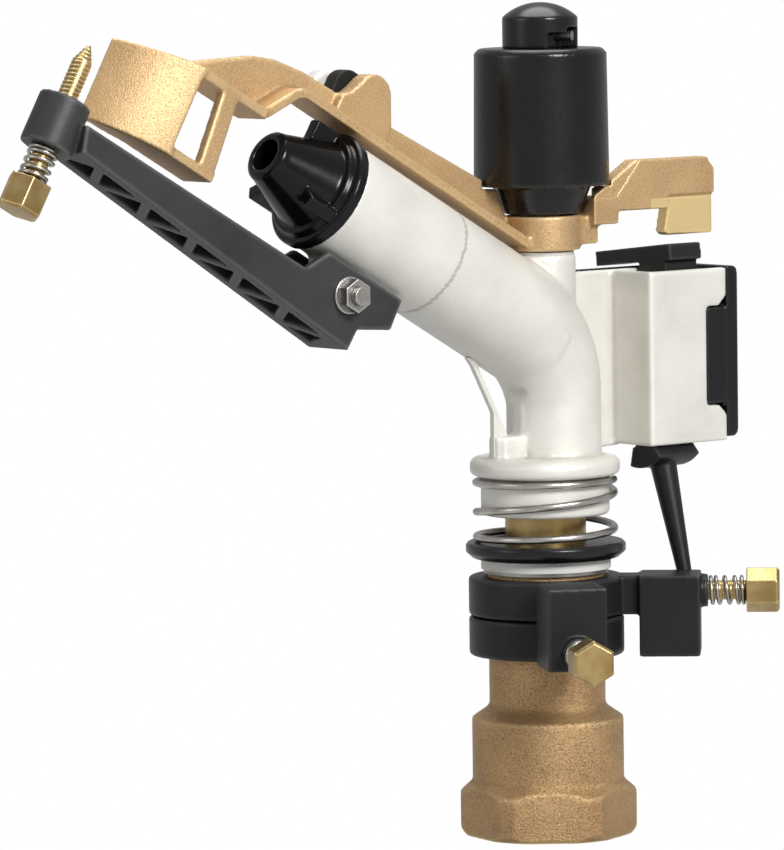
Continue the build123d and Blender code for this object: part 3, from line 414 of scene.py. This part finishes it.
def wireTree():
    # a wire wound on a cylinder or a cone, its turns closer together at the ends
    tree = bpy.data.node_groups.new("woundWire", "GeometryNodeTree")
    tree.interface.new_socket("Geometry", in_out="INPUT", socket_type="NodeSocketGeometry")
    for name in ("Radius", "EndRadius", "Length", "Turns", "Closing", "Thickness"):
        tree.interface.new_socket(name, in_out="INPUT", socket_type="NodeSocketFloat")
    for name in ("Points", "Sides"):
        tree.interface.new_socket(name, in_out="INPUT", socket_type="NodeSocketInt")
    tree.interface.new_socket("Finish", in_out="INPUT", socket_type="NodeSocketMaterial")
    tree.interface.new_socket("Geometry", in_out="OUTPUT", socket_type="NodeSocketGeometry")
    given = tree.nodes.new("NodeGroupInput").outputs

    def add(kind, settings=None, sockets=None, output=0):
        node = tree.nodes.new(kind)
        for key, value in (settings or {}).items():
            setattr(node, key, value)
        for key, value in (sockets or {}).items():
            if isinstance(value, bpy.types.NodeSocket):
                tree.links.new(value, node.inputs[key])
            else:
                node.inputs[key].default_value = value
        return node.outputs[output]

    def maths(operation, a, b=0.0):
        return add("ShaderNodeMath", {"operation": operation}, {0: a, 1: b})

    line = add("GeometryNodeCurvePrimitiveLine")
    line = add("GeometryNodeResampleCurve", None, {"Curve": line, "Count": given["Points"]})
    share = add("GeometryNodeSplineParameter")
    turned = maths("MULTIPLY", maths("MULTIPLY", share, given["Turns"]), 2 * math.pi)
    lean = maths("SINE", maths("MULTIPLY", share, 2 * math.pi))
    lean = maths("DIVIDE", maths("MULTIPLY", lean, given["Closing"]), 2 * math.pi)
    height = maths("MULTIPLY", maths("SUBTRACT", share, lean), given["Length"])
    grown = maths("MULTIPLY", share, maths("SUBTRACT", given["EndRadius"], given["Radius"]))
    reach = maths("ADD", given["Radius"], grown)
    x = maths("MULTIPLY", maths("COSINE", turned), reach)
    y = maths("MULTIPLY", maths("SINE", turned), reach)
    place = add("ShaderNodeCombineXYZ", None, {0: x, 1: y, 2: height})
    path = add("GeometryNodeSetPosition", None, {"Geometry": line, "Position": place})
    ring = add("GeometryNodeCurvePrimitiveCircle", None, {"Resolution": given["Sides"],
                                                         "Radius": given["Thickness"]})
    tube = add("GeometryNodeCurveToMesh", None, {"Curve": path, "Profile Curve": ring, "Fill Caps": True})
    tube = add("GeometryNodeSetShadeSmooth", None, {"Geometry": tube})
    tube = add("GeometryNodeRealizeInstances", None, {"Geometry": tube})
    tube = add("GeometryNodeSetMaterial", None, {"Geometry": tube, "Material": given["Finish"]})
    end = tree.nodes.new("NodeGroupOutput")
    tree.links.new(tube, end.inputs[0])
    return tree


woundWire = wireTree()
pointsPerTurn = 40


def wound(name, start, direction, sizes, paint, body, node=None):
    # sizes in millimetres, along the direction from the start
    piece = newPiece(name, bpy.data.meshes.new(name))
    nodes = piece.modifiers.new("wire", "NODES")
    nodes.node_group = woundWire
    named = {i.name: i.identifier for i in woundWire.interface.items_tree if i.in_out == "INPUT"}
    values = {"Radius": sizes["radius"] * mm, "EndRadius": sizes.get("endRadius", sizes["radius"]) * mm,
              "Length": sizes["length"] * mm, "Turns": float(sizes["turns"]),
              "Closing": float(sizes["closing"]), "Thickness": sizes["wire"] / 2 * mm,
              "Points": int(sizes["turns"] * pointsPerTurn), "Sides": sizes.get("sides", 14), "Finish": paint}
    for key, value in values.items():
        nodes[named[key]] = value
    asMesh(piece)
    direction = Vector(direction).normalized()
    turn = direction.to_track_quat("Z", "Y").to_matrix() @ Matrix.Rotation(sizes.get("spin", 0.0), 3, "Z")
    piece.data.transform(Matrix.Translation(start) @ turn.to_4x4())
    facesOut(piece.data)
    markSurface(piece.data)
    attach(piece, body)
    if node:
        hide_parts(node)


# ---- castings and mouldings, each a skin over its solid

cutFaces = {"lugFrom": 27.0, "lugLow": 143.0, "lugHigh": 153.6, "mouthHigh": 0.35, "mouthShare": 0.7,
            "ringAt": 42.8, "ringHalf": 0.42}


def strikerFace(co):
    # the bright cut lug that meets the pawl
    lug = (co[:, 0] > cutFaces["lugFrom"]) & (co[:, 2] < cutFaces["lugHigh"]) & (co[:, 2] > cutFaces["lugLow"])
    return lug.astype(float)


def mouthFace(co):
    # the turned face of the inlet's mouth
    mouth = co[:, 2] < cutFaces["mouthHigh"]
    return mouth.astype(float) * cutFaces["mouthShare"]


def barrelRing(co):
    # the shallow turned ring round the barrel, where a dark line is painted as the shade of its groove
    s = co[:, 0] * along.x + (co[:, 2] - jet["height"]) * along.z
    return (np.abs(s - cutFaces["ringAt"]) < cutFaces["ringHalf"]).astype(float)


# the place of the old brace, which a slimmer rib fills
braceRoom = [(-8.7, 97.8), (-8.7, 108.8), (-27.0, 119.3), (-27.0, 113.0), (-17.0, 103.0), (-17.0, 97.8)]
castings = {
    "inlet_base": {"name": "inletCasting", "grain": 0.5, "rounding": 5},
    "head_body": {"name": "headCasting", "grain": 0.6, "rounding": 3, "cut": (braceRoom, -4, 4)},
    "drive_arm": {"name": "driveArmCasting", "grain": 0.45, "rounding": 4},
    "upper_collar": {"name": "upperCollarMoulding", "grain": 0.4, "rounding": 3},
    "lower_collar": {"name": "lowerCollarMoulding", "grain": 0.4, "rounding": 3},
    "mechanism_cover": {"name": "housingCoverMoulding", "grain": 0.4, "rounding": 3},
    "trip_lever": {"name": "tripLeverMoulding", "grain": 0.3, "rounding": 3},
    "reversing_pawl": {"name": "pawlMoulding", "grain": 0.35, "rounding": 3},
    "dust_washer": {"name": "dustWasherMoulding", "grain": 0.3, "rounding": 2},
    "stop_bumper": {"name": "bumperMoulding", "grain": 0.3, "rounding": 5},
    "upper_collar_screw": {"name": "upperScrewTurned", "grain": 0.2, "rounding": 2},
    "lower_collar_screw": {"name": "lowerScrewTurned", "grain": 0.2, "rounding": 2},
    "diffuser_screw": {"name": "diffuserScrewTurned", "grain": 0.2, "rounding": 2},
    "diffuser_bolt": {"name": "diffuserBoltTurned", "grain": 0.2, "rounding": 2},
    "diffuser_nut": {"name": "diffuserNutTurned", "grain": 0.16, "rounding": 2},
    "diffuser_washers": {"name": "diffuserWasherPair", "grain": 0.16, "rounding": 1},
    "cover_screws": {"name": "coverScrewSet", "grain": 0.16, "rounding": 2},
    "cap_button": {"name": "capMoulding", "grain": 0.25, "rounding": 12},
    "nozzle": {"name": "nozzleMoulding", "grain": 0.32, "rounding": 4},
    "spring_cover": {"name": "springCoverMoulding", "grain": 0.45, "rounding": 4},
    "diffuser_arm": {"name": "diffuserArmMoulding", "grain": 0.4, "rounding": 3},
}
paintBy = {"spring_cover": coverBlack, "cap_button": coverBlack, "diffuser_arm": ribbedBlack,
           "mechanism_cover": coverBlack, "dust_washer": coverBlack, "inlet_base": inletBronze}
machinedBy = {"drive_arm": strikerFace, "inlet_base": mouthFace, "head_body": barrelRing}
for node, sizes in castings.items():
    castPiece(node, sizes, paintBy.get(node), machinedBy.get(node))
print("sprinkler: castings and mouldings made,", len(castings))

# ---- the brace's slim rib, whole from the barrel down to the collar
brace = {"inner": [(-12.0, 97.5), (-20.9, 114.4), (-21.4, 117.0)],
         "outer": [(-24.6, 117.4), (-22.8, 115.2), (-16.5, 103.4), (-16.5, 91.6), (-12.0, 91.6)],
         "half": 0.8, "grain": 0.25, "rounding": 3}
castRib(prism("braceRib", brace["inner"] + brace["outer"], -brace["half"], brace["half"]), brace,
        "head", "cast_aluminium")

# slanting gusset between the arm's block and its weight, clear of the spring cover
gusset = {"outline": [(7.5, 151.0), (8.0, 154.2), (22.6, 163.0), (24.0, 163.0), (24.0, 152.0), (16.0, 151.0)],
          "near": -8.9, "far": -4.7, "cover": (17.0, 157.0, 200.0), "cone": (12.6, 140.0, 158.0),
          "grain": 0.3, "rounding": 3}
strap = prism("armGusset", gusset["outline"], gusset["near"], gusset["far"])
for room in ("cover", "cone"):
    carved(strap, drum(*gusset[room]))
castRib(strap, gusset, "drive_arm", "cast_bronze")
print("sprinkler: brace rib and arm gusset made")

# ---- wound wire and screw threads
up = Vector((0, 0, 1))


def outward(degrees):
    return Vector((math.cos(math.radians(degrees)), math.sin(math.radians(degrees)), 0))


frictionWire = {"radius": 16.75, "length": 14.0, "turns": 2.8, "closing": 0.93, "wire": 1.85, "spin": -2.72,
                "lift": 0.93}
armWire = {"radius": 6.5, "length": 35.0, "turns": 9, "closing": 0.5, "wire": 1.6, "lift": 0.8}
for name, node, sizes in (("frictionSpringWire", "friction_spring", frictionWire),
                          ("armSpringWire", "arm_spring", armWire)):
    start = Vector((0, 0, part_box(node)[0].z + sizes["lift"] * mm))
    wound(name, start, up, sizes, springWire, "head", node)

brass = finishes["machined_brass"]
screwWire = {"radius": 3.2, "length": 8.4, "turns": 5, "closing": 0.5, "wire": 0.9}
threadRidge = {"radius": 2.2, "turns": 12, "closing": 0.0, "wire": 0.5, "sides": 8}
collarScrew = {"spring": 39.65, "thread": 37.0, "length": 11.0}
for side, degrees, height in (("upper", -43.0, 59.1), ("lower", -119.0, 48.0)):
    way = outward(degrees)
    level = up * height * mm
    wound(side + "SpringWire", way * collarScrew["spring"] * mm + level, way, screwWire, springWire,
          side + "_collar", side + "_screw_spring")
    wound(side + "ScrewThread", way * collarScrew["thread"] * mm + level, way,
          dict(threadRidge, length=collarScrew["length"]), brass, side + "_screw")

# the diffuser's screw hangs down from the jet's line; its thread and point have ridges of their own
diffuser = {"along": 154, "spring": -28.45, "thread": -6.3, "point": -2.6}
down = -across
wound("diffuserSpringWire", jetPoint(diffuser["along"], diffuser["spring"]), down,
      dict(screwWire, length=7.4), springWire, "head", "diffuser_screw_spring")
wound("diffuserScrewThread", jetPoint(diffuser["along"], diffuser["thread"]), down,
      dict(threadRidge, length=29.0, turns=28), brass, "diffuser_screw")
wound("diffuserPointThread", jetPoint(diffuser["along"], diffuser["point"]), down,
      dict(threadRidge, radius=0.75, endRadius=2.2, length=3.5, turns=3.5), brass,
      "diffuser_screw")

inletThread = {"radius": 15.55, "length": 15.4, "turns": 6.7, "closing": 0.0, "wire": 1.3, "sides": 8,
               "from": 0.9}
wound("inletThread", Vector((0, 0, inletThread["from"] * mm)), up, inletThread, inletBronze,
      "base")
print("sprinkler: springs and threads wound")

# ---- solids that stay as they are get their finish
for node, shape in frame["nodes"].items():
    if not shape.hide_render:
        paint = springWire if node == "toggle_spring" else finishes[slotOf[node]]
        shape.data.materials.clear()
        shape.data.materials.append(paint)

# ---- floor, light and camera
studio = {"floor": 6.0, "floorTop": -0.0006, "paper": 180, "white": 1.0, "gloss": 0.4, "fill": 0.11,
          "key": 17.0, "side": 1.6, "top": 7.5}
floorMesh = bpy.data.meshes.new("paleFloor")
half = studio["floor"] / 2
corners = [(-half, -half, 0), (half, -half, 0), (half, half, 0), (-half, half, 0)]
floorMesh.from_pydata(corners, [], [(0, 1, 2, 3)])
floor = newPiece("paleFloor", floorMesh)
floor.location.z = studio["floorTop"]


def seenWhite(paint):
    # the camera and glass see plain white, and gloss a share of it
    rays = paint.tree.nodes.new("ShaderNodeLightPath").outputs
    seen = Flow(paint, rays["Is Camera Ray"]) + Flow(paint, rays["Is Glossy Ray"]) * studio["gloss"]
    return (seen + Flow(paint, rays["Is Transmission Ray"])).limited()


floorPaint = Paint("palePaper")
paper = floorPaint.add("ShaderNodeBsdfPrincipled", None,
                       {"Base Color": tint(*[studio["paper"]] * 3), "Roughness": 0.8})
glow = floorPaint.add("ShaderNodeEmission", None, {"Color": (1, 1, 1, 1), "Strength": studio["white"]})
shown = floorPaint.add("ShaderNodeMixShader", None, {0: seenWhite(floorPaint), 1: paper, 2: glow})
floorPaint.tree.links.new(shown.socket, floorPaint.tree.nodes.new("ShaderNodeOutputMaterial").inputs[0])
floorMesh.materials.append(floorPaint.material)

# the world is the fill light, and white or a share of it for the same rays as the floor
world = bpy.data.worlds.new("studio")
scene.world = world
world.use_nodes = True
sky = world.node_tree.nodes
sky.clear()
join = world.node_tree.links.new
rays = sky.new("ShaderNodeLightPath").outputs
total = sky.new("ShaderNodeMath")
total.operation = "MULTIPLY_ADD"
total.inputs[1].default_value = studio["gloss"]
join(rays["Is Glossy Ray"], total.inputs[0])
join(rays["Is Camera Ray"], total.inputs[2])
both = sky.new("ShaderNodeMath")
both.operation = "ADD"
both.use_clamp = True
join(total.outputs[0], both.inputs[0])
join(rays["Is Transmission Ray"], both.inputs[1])
lift = sky.new("ShaderNodeMapRange")
lift.inputs["To Min"].default_value = studio["fill"]
lift.inputs["To Max"].default_value = studio["white"]
join(both.outputs[0], lift.inputs["Value"])
back = sky.new("ShaderNodeBackground")
join(lift.outputs[0], back.inputs["Strength"])
back.inputs["Color"].default_value = (1, 1, 1, 1)
join(back.outputs[0], sky.new("ShaderNodeOutputWorld").inputs[0])


def lamp(name, place, aim, size, power):
    data = bpy.data.lights.new(name, "AREA")
    data.shape = "DISK"
    data.size = size
    data.energy = power
    light = bpy.data.objects.new(name, data)
    scene.collection.objects.link(light)
    light.location = place
    light.rotation_mode = "QUATERNION"
    light.rotation_quaternion = (aim - place).to_track_quat("-Z", "Y")


# photograph's camera: turned 39 degrees round, 5 degrees up, with a slight lean
shot = {"turn": -39.0, "rise": 5.05, "lean": 0.78, "lens": 6500.0, "far": 1573.0, "wide": 784.0,
        "tall": 850.0, "aimHeight": 99.5, "aimX": 544.4, "aimY": 425.0, "sensor": 36.0}
turn, rise, lean = (math.radians(shot[k]) for k in ("turn", "rise", "lean"))
right = Vector((math.cos(turn), math.sin(turn), 0))
flat = Vector((-math.sin(turn), math.cos(turn), 0))
ahead = flat * math.cos(rise) - up * math.sin(rise)
above = right.cross(ahead)
x = (shot["aimX"] - shot["wide"] / 2) / shot["lens"] * shot["far"]
y = (shot["tall"] / 2 - shot["aimY"]) / shot["lens"] * shot["far"]
offX = math.cos(lean) * x + math.sin(lean) * y
offY = math.cos(lean) * y - math.sin(lean) * x
eye = (Vector((0, 0, shot["aimHeight"])) - ahead * shot["far"] - right * offX - above * offY) * mm
seenRight = right * math.cos(lean) - above * math.sin(lean)
seenUp = right * math.sin(lean) + above * math.cos(lean)
cameraData = bpy.data.cameras.new("photoCamera")
cameraData.sensor_fit = "HORIZONTAL"
cameraData.sensor_width = shot["sensor"]
cameraData.lens = shot["sensor"] * shot["lens"] / shot["wide"]
cameraData.clip_start = 0.05
cameraData.clip_end = 50
camera = bpy.data.objects.new("photoCamera", cameraData)
scene.collection.objects.link(camera)
turned = Matrix((seenRight, seenUp, -ahead)).transposed()
camera.matrix_world = Matrix.Translation(eye) @ turned.to_4x4()
scene.camera = camera

middle = Vector((-0.02, 0, 0.11))
lamp("keyLamp", middle - flat * 0.95 + right * 0.6 + up * 0.65, middle, 0.5, studio["key"])
lamp("sideLamp", middle - flat * 0.5 - right * 0.9 + up * 0.35, middle, 0.6, studio["side"])
lamp("topLamp", middle + up * 1.0 + flat * 0.3, middle, 0.8, studio["top"])
scene.view_settings.view_transform = "Standard"
print("sprinkler: studio and camera set")

bpy.context.view_layer.update()
